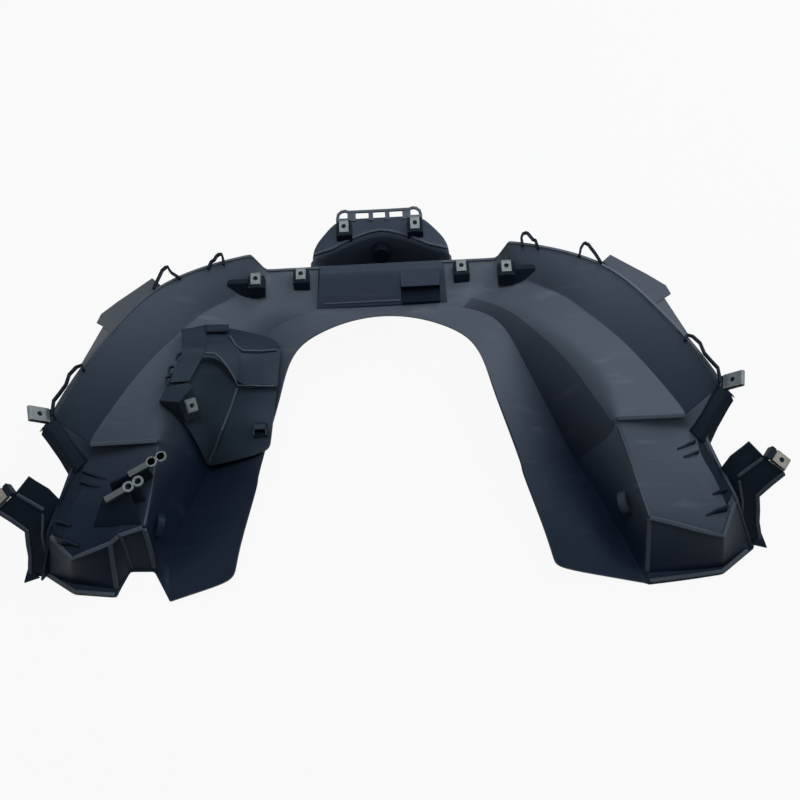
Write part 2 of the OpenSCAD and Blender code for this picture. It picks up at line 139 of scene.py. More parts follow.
seen_share.inputs[1].default_value = glow_share
floor_mix = floor_nodes.new("ShaderNodeMixShader")
floor_links.new(seen_directly(floor_nodes, floor_links), seen_share.inputs[0])
floor_links.new(seen_share.outputs["Value"], floor_mix.inputs["Fac"])
floor_links.new(matt.outputs["BSDF"], floor_mix.inputs[1])
floor_links.new(glow.outputs["Emission"], floor_mix.inputs[2])
floor_links.new(floor_mix.outputs["Shader"], floor_nodes["Material Output"].inputs["Surface"])
floor_data.materials.append(floor_paint)

# Main panel, the U-shaped sheet: one injection moulding of even wall in black plastic, from one leg
# front over the arch band to the other. It is folded along a valley, a rounded shoulder, a crease and
# the outer fold, and satin from the tool. Its colour has a painted fall-off of light, and the other
# black mouldings share its finish in other tones, which are painted light and shade.
MM = 0.001
plan_middle = 9.3
panel_wall = 3.0 * MM
painted_falloff_start = -0.02
painted_falloff_end = 0.42


def with_painted_falloff(nodes, links, place, tone, painted_falloff, painted_falloff_way):
    """Colour times a tint that runs from the first to the second of the fade along a direction.

    It stands in for the way the light falls off across the part in its photograph.
    """
    reach = nodes.new("ShaderNodeVectorMath")
    reach.operation = "DOT_PRODUCT"
    reach.inputs[1].default_value = painted_falloff_way
    links.new(place.outputs["Object"], reach.inputs[0])
    share = nodes.new("ShaderNodeMapRange")
    share.interpolation_type = "SMOOTHSTEP"
    share.inputs["From Min"].default_value = painted_falloff_start
    share.inputs["From Max"].default_value = painted_falloff_end
    links.new(reach.outputs["Value"], share.inputs["Value"])
    tint = nodes.new("ShaderNodeMixRGB")
    tint.inputs["Color1"].default_value = (*painted_falloff[0], 1.0)
    tint.inputs["Color2"].default_value = (*painted_falloff[1], 1.0)
    links.new(share.outputs["Result"], tint.inputs["Fac"])
    tinted = nodes.new("ShaderNodeMixRGB")
    tinted.blend_type = "MULTIPLY"
    tinted.inputs["Fac"].default_value = 1.0
    links.new(tone, tinted.inputs["Color1"])
    links.new(tint.outputs["Color"], tinted.inputs["Color2"])
    return tinted.outputs["Color"]


def plastic(name, colour, scuff, rough, grain_size, grain_depth, painted_falloff=None, painted_falloff_way=(0.42, 1.0, 4.5)):
    """Black moulding plastic with a fine grain from the tool, faint flow marks, paler scuffs and, if given,
    a painted fall-off of light.
    """
    finish = bpy.data.materials.new(name)
    finish.use_nodes = True
    nodes = finish.node_tree.nodes
    links = finish.node_tree.links
    shader = nodes["Principled BSDF"]
    shader.inputs["Specular IOR Level"].default_value = 0.07
    # Reflections are tinted blue: a painted colour of the reflected light.
    shader.inputs["Specular Tint"].default_value = (0.62, 0.82, 1.0, 1.0)
    place = nodes.new("ShaderNodeTexCoord")
    cloud = nodes.new("ShaderNodeTexNoise")
    cloud.inputs["Scale"].default_value = 9.0
    cloud.inputs["Detail"].default_value = 5.0
    cloud.inputs["Roughness"].default_value = 0.6
    stretch = nodes.new("ShaderNodeMapping")
    stretch.inputs["Scale"].default_value = (5.0, 26.0, 14.0)
    stretch.inputs["Rotation"].default_value = (0.3, 0.2, 0.7)
    streak = nodes.new("ShaderNodeTexNoise")
    streak.inputs["Scale"].default_value = 3.0
    streak.inputs["Detail"].default_value = 8.0
    links.new(place.outputs["Object"], cloud.inputs["Vector"])
    links.new(place.outputs["Object"], stretch.inputs["Vector"])
    links.new(stretch.outputs["Vector"], streak.inputs["Vector"])
    marks = nodes.new("ShaderNodeValToRGB")
    marks.color_ramp.elements[0].position = 0.60
    marks.color_ramp.elements[0].color = (0.0, 0.0, 0.0, 1.0)
    marks.color_ramp.elements[1].position = 0.95
    marks.color_ramp.elements[1].color = (1.0, 1.0, 1.0, 1.0)
    links.new(streak.outputs["Fac"], marks.inputs["Fac"])
    patch = nodes.new("ShaderNodeMath")
    patch.operation = "MULTIPLY"
    links.new(marks.outputs["Color"], patch.inputs[0])
    links.new(cloud.outputs["Fac"], patch.inputs[1])
    blend = nodes.new("ShaderNodeMixRGB")
    blend.inputs["Color1"].default_value = (*colour, 1.0)
    blend.inputs["Color2"].default_value = (*scuff, 1.0)
    links.new(patch.outputs["Value"], blend.inputs["Fac"])
    tone = blend.outputs["Color"]
    if painted_falloff:
        tone = with_painted_falloff(nodes, links, place, tone, painted_falloff, painted_falloff_way)
    links.new(tone, shader.inputs["Base Color"])
    sheen = nodes.new("ShaderNodeMapRange")
    sheen.inputs["To Min"].default_value = rough - 0.06
    sheen.inputs["To Max"].default_value = rough + 0.10
    links.new(cloud.outputs["Fac"], sheen.inputs["Value"])
    links.new(sheen.outputs["Result"], shader.inputs["Roughness"])
    grain = nodes.new("ShaderNodeTexNoise")
    grain.inputs["Scale"].default_value = grain_size
    grain.inputs["Detail"].default_value = 3.0
    links.new(place.outputs["Object"], grain.inputs["Vector"])
    relief = nodes.new("ShaderNodeBump")
    relief.inputs["Strength"].default_value = 0.3
    relief.inputs["Distance"].default_value = grain_depth
    links.new(grain.outputs["Fac"], relief.inputs["Height"])
    links.new(relief.outputs["Normal"], shader.inputs["Normal"])
    return finish


# Painted fall-off of light on the panel: darker to the left, front and bottom, lighter to the right, back
# and top.
panel_black = plastic("panel_black", (0.019, 0.025, 0.034), (0.06, 0.068, 0.08), 0.36, 900.0, 0.0002,
                      ((0.38, 0.50, 0.71), (3.3, 3.1, 2.9)))
# Copies of the panel's plastic in painted shade: darker on the outer faces of the wings and on the wall of
# the right trench.
outer_wing_painted_shade = plastic("outer_wing_painted_shade", (0.019, 0.025, 0.034), (0.05, 0.058, 0.07), 0.40, 900.0, 0.0003,
                      ((0.30, 0.40, 0.50), (4.2, 4.0, 3.9)), (0.0, 1.2, 1.0))
trench_painted_shade = plastic("trench_painted_shade", (0.019, 0.025, 0.034), (0.04, 0.048, 0.06), 0.36, 900.0, 0.0002,
                       ((0.30, 0.40, 0.55), (1.9, 1.8, 1.75)))


def at(point):
    return Vector((point[0], point[1] - plan_middle, point[2])) * MM


def flipped(points):
    return [Vector((-p.x, p.y, p.z)) for p in points]


def loft(mesh, rows):
    """Open sheet: the first row is drawn as edges, and they are extruded on to each next row."""
    line = [mesh.verts.new(p) for p in rows[0]]
    grid = [line]
    edges = [mesh.edges.new(pair) for pair in zip(line, line[1:])]
    for row in rows[1:]:
        made = bmesh.ops.extrude_edge_only(mesh, edges=edges)["geom"]
        fresh = {g for g in made if isinstance(g, bmesh.types.BMVert)}
        line = [next(e.other_vert(v) for e in v.link_edges if e.other_vert(v) in fresh) for v in line]
        for vert, point in zip(line, row):
            vert.co = point
        edges = [mesh.edges.get(pair) for pair in zip(line, line[1:])]
        grid.append(line)
    return grid


def sharpen(mesh, verts, value):
    """Crease along a run of neighbouring vertices."""
    layer = mesh.edges.layers.float.get("crease_edge") or mesh.edges.layers.float.new("crease_edge")
    for pair in zip(verts, verts[1:]):
        mesh.edges.get(pair)[layer] = value


def face_up(mesh, direction=(0.0, 0.0, 1.0)):
    bmesh.ops.recalc_face_normals(mesh, faces=mesh.faces)
    if sum(f.normal.dot(Vector(direction)) * f.calc_area() for f in mesh.faces) < 0:
        bmesh.ops.reverse_faces(mesh, faces=mesh.faces)


def make_piece(name, mesh, material, rounds=0, wall=0.0, bevel=0.0, bevel_angle=35.0):
    data = bpy.data.meshes.new(name)
    mesh.to_mesh(data)
    mesh.free()
    data.materials.append(material)
    data.shade_smooth()
    if not rounds:
        data.set_sharp_from_angle(angle=math.radians(bevel_angle))
    piece = bpy.data.objects.new(name, data)
    bpy.context.scene.collection.objects.link(piece)
    if rounds:
        smooth = piece.modifiers.new("rounds", "SUBSURF")
        smooth.levels = rounds
        smooth.render_levels = rounds
    if wall:
        thick = piece.modifiers.new("wall", "SOLIDIFY")
        thick.thickness = wall
        thick.offset = -1.0
    if bevel:
        soft = piece.modifiers.new("edge", "BEVEL")
        soft.width = bevel
        soft.segments = 2
        soft.limit_method = "ANGLE"
        soft.angle_limit = math.radians(bevel_angle)
        soft.harden_normals = True
    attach(piece, "root")
    return piece


bend_rows = [
    [(0, 95, 50), (0, 106, 53), (0, 117, 56), (0, 130, 60), (0, 145, 64)],
    [(38, 90, 50), (44, 105, 53), (50, 118, 57), (60, 132, 61), (74, 146, 64)],
    [(72, 75, 51), (86, 97, 53), (98, 110, 57), (115, 128, 62), (122, 145, 65)],
    [(92, 60, 50), (118, 88, 49), (136, 92, 57), (152, 114, 68), (134, 147, 92)],
    [(103, 36, 49), (134, 62, 44), (158, 64, 66), (186, 97, 73), (176, 137, 94)],
    [(109, 7, 48), (144, 38, 36), (184, 35, 72), (209, 67, 78), (235, 112, 95)],
    [(116, -18, 45), (157, 12, 27), (203, 7, 75), (234, 39, 81), (272, 60, 96)],
    [(123, -42, 42), (170, -18, 16), (216, -20, 77), (258, 2, 83), (301, 16, 95)]]
ledge_rows = [
    [(132, -74, 36), (185, -51, 8.5), (221.5, -44, 76.5), (242, -45, 78.5), (259, -46, 80.5),
     (286, -47, 82.5), (321, -24, 91)],
    [(133, -80, 35), (187, -57, 7), (222, -50, 76), (243, -51, 78), (260, -52, 80), (287, -53, 82),
     (322, -28, 90)],
    [(133, -84, 34), (188, -61, 7), (224, -53, 73), (245, -56, 71), (262, -58, 69), (288, -61, 68),
     (305, -72, 67)]]
right_pocket_rows = [
    [(140, -108, 29), (206, -93, 3), (234, -98, 60), (256, -99, 62), (272, -100, 63), (290, -100, 63),
     (312, -92, 62)],
    [(150, -142, 22), (226, -142, 3), (243, -145, 57), (264, -151, 56), (286, -158, 54),
     (312, -165, 50), (328, -132, 52)],
    [(156, -170, 17), (240, -181, 3), (246, -184, 4), (268, -184, 4), (292, -184, 4), (320, -182, 4),
     (349, -164, 6)],
    [(158, -178, 16), (241, -193, 3), (247, -195.5, 3), (268, -194, 3), (292, -192, 3), (319, -189, 3),
     (352, -166, 5)]]
left_pocket_rows = [
    [(140, -108, 29), (205, -92, 3), (230, -98, 58), (252, -98, 60), (266, -100, 60), (290, -103, 60),
     (312, -92, 62)],
    [(150, -142, 22), (221, -140, 3), (234, -131, 57), (257, -137, 56), (268, -143, 51),
     (304, -156, 49), (327, -132, 52)],
    [(154, -164, 19), (224, -160, 3), (236, -157, 4), (260, -156, 4), (273, -176, 4), (318, -168, 4),
     (348, -156, 7)],
    [(156, -176, 17), (220, -190, 3), (237, -160, 3), (261, -159, 3), (273, -184, 3), (315, -179, 3),
     (349, -157, 5)]]
rim_rise = Vector((0.0, 0.5, 2.0)) * MM


def across(row):
    """Points of one section across the sheet, from the arch edge to the lip of the outer fold."""
    points = [at(p) for p in row]
    softness = 0.06
    if len(points) == 5:
        softness = 0.22
        points[3:3] = [points[2].lerp(points[3], 0.36), points[2].lerp(points[3], 0.62)]
    inner, valley, shoulder, near, far, crease, fold = points
    return [inner, inner.lerp(valley, 0.5), inner.lerp(valley, 0.92), valley, valley.lerp(shoulder, 0.08),
            valley.lerp(shoulder, 0.5), shoulder.lerp(valley, softness), shoulder.lerp(near, softness),
            near, far, crease, crease.lerp(fold, 0.5), fold, fold + rim_rise]


right_rows = [across(r) for r in bend_rows + ledge_rows + right_pocket_rows]
left_rows = [flipped(across(r)) for r in bend_rows + ledge_rows + left_pocket_rows]
valley_column, shoulder_columns, crease_column, fold_column = 3, (6, 7), 10, 12
ledge_edge, ledge_foot, front_top, front_foot = 9, 10, 12, 13
panel_mesh = bmesh.new()
panel_grid = loft(panel_mesh, left_rows[:0:-1] + right_rows)
middle_row = len(left_rows) - 1


def paint_faces(sign, steps, columns, material_index):
    for step in steps:
        line, after = panel_grid[middle_row + sign * step], panel_grid[middle_row + sign * (step + 1)]
        for column in columns:
            face = next(f for f in line[column].link_faces if after[column + 1] in f.verts)
            face.material_index = material_index


for column, value in ((valley_column, 0.85), (fold_column, 0.9)):
    sharpen(panel_mesh, [line[column] for line in panel_grid], value)
for sign in (-1, 1):
    half = [panel_grid[middle_row + sign * step] for step in range(len(right_rows))]
    sharpen(panel_mesh, [line[crease_column] for line in half[3:]], 0.75)
    for step in (2, 3):
        sharpen(panel_mesh, half[step][crease_column:], 0.9)
    for step, value in ((ledge_edge, 0.95), (ledge_foot, 0.95), (front_top, 0.85), (front_foot, 1.0)):
        sharpen(panel_mesh, half[step][shoulder_columns[0]:], value)
    for column in shoulder_columns:
        sharpen(panel_mesh, [line[column] for line in half[ledge_edge:]], 0.8)
    # The outer faces of the wings, between crease and fold, take the painted shade of slot 1.
    paint_faces(sign, range(3, 9), (crease_column, crease_column + 1), 1)
# The wall of the right trench, from the valley up, takes the painted shade of slot 2.
paint_faces(1, range(2, 10), (3, 4, 5), 2)
for column in (8, 9):
    sharpen(panel_mesh, [panel_grid[middle_row - step][column] for step in (12, 13, 14)], 0.9)
face_up(panel_mesh)
panel = make_piece("panel_sheet", panel_mesh, panel_black,
                   rounds=3, wall=panel_wall, bevel=0.5 * MM)
panel.data.materials.append(outer_wing_painted_shade)
panel.data.materials.append(trench_painted_shade)
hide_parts("main_panel")

# Rounded beads along the edges of the two pockets: the lip of the ledge, the top and corners of each
# front, its foot and the shoulder. They are moulded with the sheet, and coloured paler as a painted
# highlight.
edge_highlight_black = plastic("edge_highlight_black", (0.050, 0.062, 0.080), (0.09, 0.105, 0.12), 0.34, 900.0, 0.0002)
bead_lean = Vector((0.0, -0.45, 0.9))


def through(mesh, rings):
    """Closed bar: the first ring is filled and extruded on through every next ring."""
    ring = rings[0]
    face = mesh.faces.new([mesh.verts.new(p) for p in ring])
    for new_ring in rings[1:]:
        made = bmesh.ops.extrude_face_region(mesh, geom=[face])["geom"]
        face = next(g for g in made if isinstance(g, bmesh.types.BMFace))
        places = {v: min(range(len(ring)), key=lambda k: (v.co - ring[k]).length) for v in face.verts}
        for vert, k in places.items():
            vert.co = new_ring[k]
        ring = new_ring
    bmesh.ops.recalc_face_normals(mesh, faces=mesh.faces)


def strap(mesh, path, width, height, over=Vector((0.0, 0.0, 1.0))):
    """Bar of rectangular section along a path, with its height towards the given direction."""
    rings = []
    for i, point in enumerate(path):
        along = (path[min(i + 1, len(path) - 1)] - path[max(i - 1, 0)]).normalized()
        side = along.cross(over).normalized() * width / 2
        rise = side.cross(along).normalized() * height / 2
        rings.append([point - side - rise, point + side - rise, point + side + rise, point - side + rise])
    through(mesh, rings)


def placed(side, points):
    """Plan points of the right half, turned over for the left half."""
    points = [at(p) for p in points]
    return points if side == "right" else flipped(points)


bead_paths = {
    "left": [[(223, -51, 76.3), (243, -52, 78.2), (260, -53, 80.1), (286, -54, 82)],
             [(236, -132, 57), (257, -138, 56), (258.5, -147, 30), (260, -155, 5)],
             [(235, -133, 55), (235.5, -144, 30), (236.5, -156, 5)],
             [(259, -139, 55), (268, -144, 51), (286, -150.5, 50), (304, -157, 49), (326, -134, 51.5)],
             [(268, -145, 50), (270.5, -160, 28), (273, -175.5, 5)]],
    "right": [[(223, -51, 76.3), (243, -52, 78.2), (260, -53, 80.1), (286, -54, 82)],
              [(243, -146, 57), (264, -152, 56), (286, -159, 54), (311, -165.5, 50), (327, -133, 51.5)],
              [(243.5, -147, 55), (244.8, -165, 30), (246, -183, 5)]]}
foot_and_shoulder_paths = {
    "left": [[(274, -181.5, 5), (300, -178.5, 5), (314, -176.5, 5.2), (345, -157, 7)],
             [(223.5, -56, 72.5), (227, -77, 65.5), (230.5, -98, 59), (232.5, -115, 58.5),
              (234.5, -131, 58)]],
    "right": [[(247, -192.5, 4.8), (268, -191, 5), (292, -189, 5), (318, -186.5, 5.2), (346, -167, 6.5)],
              [(223.5, -56, 72.5), (229, -77, 66.8), (234.5, -98, 61), (239, -122, 59.3),
               (243.5, -145, 58)]]}
for side in ("left", "right"):
    bead_mesh = bmesh.new()
    for path in bead_paths[side]:
        strap(bead_mesh, placed(side, path), 4.4 * MM, 3.6 * MM, bead_lean)
    for path, width in zip(foot_and_shoulder_paths[side], (4.2, 2.4)):
        strap(bead_mesh, placed(side, path), width * MM, 2.2 * MM)
    make_piece("pocket_beads_" + side, bead_mesh, edge_highlight_black, bevel=1.0 * MM)

# Side flaps outside the fold: thin skirts of the same moulding that reach under
# the neighbouring fairing, moulded on along the outer fold of each wing.
# The flaps, nose tray and centre box are the same plastic in one flat mid tone, a painted light for these
# parts in place of the panel's painted fall-off.
satin_painted_light_black = plastic("satin_painted_light_black", (0.030, 0.040, 0.058), (0.07, 0.08, 0.095), 0.36, 900.0, 0.0002)
flap_rows = [
    [(228, 117, 96), (240, 133, 84)], [(238, 106, 96), (258, 126, 76)], [(250, 90, 96), (279, 117, 68)],
    [(262, 74, 96), (299, 107, 60)], [(270, 62, 96), (302, 95, 62)], [(278, 52, 96), (293, 88, 66)],
    [(290, 33, 96), (300, 50, 80)], [(297, 20, 95), (303, 34, 86)]]
for side in ("left", "right"):
    flap_mesh = bmesh.new()
    loft(flap_mesh, [placed(side, row) for row in flap_rows])
    face_up(flap_mesh)
    make_piece("side_flap_" + side, flap_mesh, satin_painted_light_black, wall=2.0 * MM, bevel=0.4 * MM)

# Hook lugs on the outer fold: flat bars of the same moulding, bent into open loops
# that the hooks of the mating fairing catch in, three on each wing.
# The same plastic made almost black: a painted shade for the lugs, tabs, carriers, struts, towers, latch
# arms, pocket walls and gussets.
matt_painted_shade_black = plastic("matt_painted_shade_black", (0.006, 0.010, 0.017), (0.03, 0.036, 0.045), 0.50, 900.0, 0.0002)
lug_height = 98
lug_paths = {
    "right": [[(148, 139), (147.8, 150.1), (149.8, 154.6), (153, 155.7), (155, 154.7), (157.2, 150.7),
               (159.4, 146.8), (161.9, 145.4), (164, 135)],
              [(204.5, 123), (207.4, 133.2), (210.6, 138), (212.2, 139.1), (215.6, 137), (218, 131.9),
               (220.9, 126.2), (226, 113)],
              [(295, 19), (298, 25), (303, 23), (309, 15), (311, 4), (316, -5), (321, -13), (321, -21),
               (320, -29)]],
    "left": [[(-178, 131), (-175.1, 139.5), (-172, 141.8), (-169.7, 146.6), (-167.1, 148.6),
              (-164.5, 148.4), (-162.9, 143.1), (-162, 135)],
             [(-233, 110), (-225.6, 132.1), (-222.2, 135.6), (-220.2, 136.2), (-217.8, 131.6),
              (-215.5, 128.4), (-206, 121)],
             [(-295, 19), (-298, 25), (-303, 23), (-309, 15), (-311, 4), (-316, -5), (-321, -13),
              (-321, -21), (-320, -29)]]}
for side in ("left", "right"):
    lug_mesh = bmesh.new()
    for path in lug_paths[side]:
        strap(lug_mesh, [at((x, y, lug_height)) for x, y in path], 2.4 * MM, 4.0 * MM)
    make_piece("hook_lugs_" + side, lug_mesh, matt_painted_shade_black, bevel=0.4 * MM)

# Nose tray: the raised plate behind the band with an arched front edge, over a dark well with a
# round boss, and a slotted rim with two eared holes. All of it is moulded with the panel.
shadow_black = plastic("shadow_black", (0.002, 0.004, 0.009), (0.01, 0.013, 0.018), 0.60, 900.0, 0.0002)
tray_half_rows = [
    [(0, 140, 63), (0, 147, 63), (0, 152, 3), (0, 164, 3), (0, 176, 3), (0, 189, 60), (0, 192, 63),
     (0, 206, 70)],
    [(22, 140, 63), (22, 147, 63), (22, 152, 3), (22, 162, 3), (22, 172, 3), (22, 184, 59),
     (22, 187, 62), (24, 206, 70)],
    [(45, 140, 63), (45, 147, 63), (44, 152, 3), (44, 159, 3), (44, 166, 3), (43, 174, 58),
     (43, 177, 61), (46, 206, 70)],
    [(62, 140, 63), (62, 147, 63), (62, 151, 36), (62, 155, 35), (62, 160, 34), (60, 167, 57),
     (60, 170, 60), (60, 192, 64)],
    [(70, 140, 63), (70, 147, 63), (70, 151, 52), (70, 155, 51), (70, 160, 50), (70, 166, 57),
     (70, 169, 59), (68, 184, 61)],
    [(74, 140, 63), (74, 147, 63), (74, 150, 60), (74, 154, 59), (74, 158, 58), (74, 162, 58),
     (74, 166, 58), (73, 175, 58)]]
# The tray is coloured in the flat painted-light tone.
tray_mesh = bmesh.new()
tray_rows = [[at(p) for p in row] for row in tray_half_rows]
tray_grid = loft(tray_mesh, [flipped(r) for r in tray_rows[:0:-1]] + tray_rows)
for column, value in ((1, 1.0), (2, 0.8), (4, 0.8), (5, 0.8), (6, 0.8), (7, 1.0)):
    sharpen(tray_mesh, [line[column] for line in tray_grid], value)
face_up(tray_mesh)
make_piece("nose_tray", tray_mesh, satin_painted_light_black, rounds=2, wall=2.6 * MM, bevel=0.4 * MM)

arch_half = [(73, 169, 59.5), (62, 171.5, 61.5), (53, 174, 62), (43, 179, 62.8), (33, 184, 63.5),
             (22, 188.5, 64), (10, 192, 64.8), (0, 193.5, 65)]
# The arched front edge is a bead coloured paler as a painted highlight.
arch_mesh = bmesh.new()
arch_path = [(-x, y, z) for x, y, z in arch_half] + arch_half[-2::-1]
strap(arch_mesh, [at(p) for p in arch_path], 3.2 * MM, 2.2 * MM)
make_piece("nose_arch_bead", arch_mesh, edge_highlight_black, bevel=0.9 * MM)

rim_mesh = bmesh.new()
rim_half = [(45.5, 202, 69), (45.6, 206.6, 70), (44.4, 211, 72), (41, 213.7, 73), (37, 214.2, 73.5),
            (33, 213, 73), (14, 212.8, 73)]
rim_path = [(-x, y, z) for x, y, z in rim_half] + rim_half[::-1]
strap(rim_mesh, [at(p) for p in rim_path], 3.2 * MM, 2.4 * MM)
for sign in (-1, 1):
    strap(rim_mesh, [at((sign * 31, 204.2, 71)), at((sign * 46, 204.2, 71))], 3.4 * MM, 2.4 * MM)
for x, wide in ((-30, 9.0), (-9, 5.0), (9, 5.0), (30, 9.0)):
    strap(rim_mesh, [at((x, 203, 69)), at((x, 213.5, 73))], wide * MM, 2.4 * MM)
make_piece("nose_rim", rim_mesh, panel_black, bevel=0.5 * MM)


def turned(seat, *turns):
    """Place in the plan, turned by degrees about one axis after another."""
    place = Matrix.Translation(at(seat))
    for degrees, axis in turns:
        place = place @ Matrix.Rotation(math.radians(degrees), 4, axis)
    return place


# The round boss in the well is coloured in painted shadow, for the shade it lies in.
boss_mesh = bmesh.new()
bmesh.ops.create_cone(boss_mesh, cap_ends=True, segments=40, radius1=11 * MM, radius2=9.5 * MM,
                      depth=22 * MM, matrix=turned((0, 181, 44), (70, "X")))
make_piece("nose_boss", boss_mesh, shadow_black, bevel=1.0 * MM)

# Centre box on the band: a hollow moulded block with a rounded top edge and splayed ends, a low step
# along its foot, and a recess under a lip at its right end, filled with a dark piece in painted shadow.
box_top = 76.0
box_height = 25.0
recess_ends = (20.8, 60.8)
box_ring = [(103, 51), (103.6, 54.5), (107, 58), (119, 66.6), (127, 72.6), (130, 74.6), (133, 76),
            (141, 76), (145, 72), (146, 60)]
recess_ring = [(103, 51), (103.6, 51.5), (107, 52), (121, 53), (121, 67), (116.5, 68.2), (133, 76),
               (141, 76), (145, 72), (146, 60)]
box_sections = ((-64, -7, box_ring), (-61, -7, box_ring), (20, 0, box_ring), (20.6, 0, recess_ring),
                (61, 0, recess_ring), (61.6, 0, box_ring), (65, 4, box_ring))


def box_section(x, splay, ring):
    return [at((x + splay * (box_top - z) / box_height, y, z)) for y, z in ring]


def wedge(mesh, ends, profile, turn):
    """Bar with the given profile across it, from one end to the other along x."""
    through(mesh, [[turn @ (Vector((x, y, z)) * MM) for y, z in profile] for x in ends])


# The box is coloured in the flat painted-light tone.
box_mesh = bmesh.new()
through(box_mesh, [box_section(*section) for section in box_sections])
make_piece("centre_box", box_mesh, satin_painted_light_black, bevel=1.2 * MM, bevel_angle=20.0)
# A dark wedge in painted shadow fills the recess, for the shade under its lip.
recess_shade_mesh = bmesh.new()
wedge(recess_shade_mesh, recess_ends, [(103.4, 52), (103.4, 58.0), (120.8, 60.5), (120.8, 52)], turned((0, 0, 0)))
wedge(recess_shade_mesh, recess_ends, [(119.4, 58), (119.4, 66.5), (120.9, 66.5), (120.9, 58)], turned((0, 0, 0)))
make_piece("box_recess_painted_shade", recess_shade_mesh, shadow_black)
step_mesh = bmesh.new()
strap(step_mesh, [at((-62, 106.6, 58)), at((19, 106.6, 58))], 1.6 * MM, 1.4 * MM, Vector((0.0, -0.6, 0.8)))
make_piece("box_step", step_mesh, panel_black, bevel=0.4 * MM)

# Tabs on the band and the nose tray that the spring nuts are pushed on, moulded with the panel, each
# with a foot behind it and a wall on either side. The outer pair run on sideways as shelves.
mirror_x = Matrix.Scale(-1, 4, Vector((1, 0, 0)))
band_outer = turned((131, 126, 82), (8, "X"))
band_inner = turned((85, 136, 72), (8, "X"))
nose_clip = turned((38.5, 193, 74), (16, "X"))


def block(mesh, corner_a, corner_b, turn):
    """Straight block between two opposite corners."""
    low = Vector([min(a, b) for a, b in zip(corner_a, corner_b)]) * MM
    high = Vector([max(a, b) for a, b in zip(corner_a, corner_b)]) * MM
    ring = [(low.x, low.y), (high.x, low.y), (high.x, high.y), (low.x, high.y)]
    through(mesh, [[turn @ Vector((x, y, z)) for x, y in ring] for z in (low.z, high.z)])


# The nut tabs are coloured the painted-shade black.
tab_mesh = bmesh.new()
for mirror in (Matrix.Identity(4), mirror_x):
    for turn, foot in ((band_outer, 14), (band_inner, 12), (nose_clip, 12)):
        block(tab_mesh, (-4.5, -9.5, -1.3), (4.5, 5, 1.3), mirror @ turn)
        wedge(tab_mesh, (-8.4, 8.4), [(-15, -foot), (-10, 0.8), (-8, 0.8), (-8, -foot)], mirror @ turn)
        for x in (-8.4, 5.6):
            block(tab_mesh, (x, -11.0, -foot), (x + 2.8, 5, -1.6), mirror @ turn)
    wedge(tab_mesh, (8.4, 30), [(-14, -14), (-4, 0.6), (1, 0.6), (1, -14)], mirror @ band_outer)
make_piece("nut_tabs", tab_mesh, matt_painted_shade_black, bevel=0.5 * MM)

# Struts and towers: open channels from the pockets up to the shoulder nuts, and the tall fronts that
# carry the tower nuts, with a fin, a side and a web back to the pocket. All are moulded on.
tower_lean = Vector((0.0, -0.6, 0.8))
strut_rows = [
    [(317, -27, 86), (322, -31, 94), (330, -38, 93), (334, -43, 86)],
    [(310, -33, 82), (316, -37, 91), (323, -42, 91), (330, -48, 82)],
    [(299, -46, 70), (305, -53, 81.5), (311, -58, 81.5), (319, -64, 71)],
    [(287, -58, 62), (294, -68, 71), (300, -75, 70), (309, -82, 58)]]
tower_face = [
    [(350, -103, 87), (369, -117, 80)], [(340, -107, 77), (360, -122, 68)],
    [(329, -112, 66), (349, -129, 53)], [(335, -130, 45), (353, -138, 38)],
    [(336, -142, 28), (354, -146, 26)], [(336, -151, 15), (357, -152, 18)],
    [(336, -160, 4), (362, -159, 5)]]
tower_fin = [
    [(337, -89, 93), (350, -103, 87)], [(332, -92, 88), (340, -107, 77)],
    [(322, -97, 78), (329, -112, 66)], [(315, -104, 56), (335, -130, 45)],
    [(320, -122, 34), (336, -142, 28)], [(323, -134, 24), (336, -151, 15)],
    [(328, -150, 5), (336, -160, 4)]]
tower_side = [
    [(369, -117, 80), (363, -106, 81)], [(360, -122, 68), (355, -110, 70)],
    [(349, -129, 53), (345, -113, 58)], [(353, -138, 38), (344, -125, 38)],
    [(354, -146, 26), (344, -134, 26)], [(357, -152, 18), (346, -142, 18)],
    [(362, -159, 5), (350, -151, 6)]]
tower_web = [[(328, -132, 51), (335, -130, 45)], [(339, -148.5, 28), (336, -142, 28)],
             [(345, -157.5, 15), (338, -151, 15)], [(349, -163, 6), (344, -157, 6)]]
tower_rib = [(349, -103.5, 86.5), (340, -107.5, 77), (330, -112.5, 66.5)]
tower_column = [(332, -115, 62), (337, -131, 44.5), (338, -143, 28), (338, -152, 15)]
tower_edge = [(368, -117, 80), (359, -122, 68.5), (349, -128.5, 54), (352, -137.5, 39),
              (353.5, -145.5, 27), (356, -151.5, 19), (360, -158, 6)]
tower_spur = [(350, -161, 7), (366, -165, 5), (360, -152, 14)]
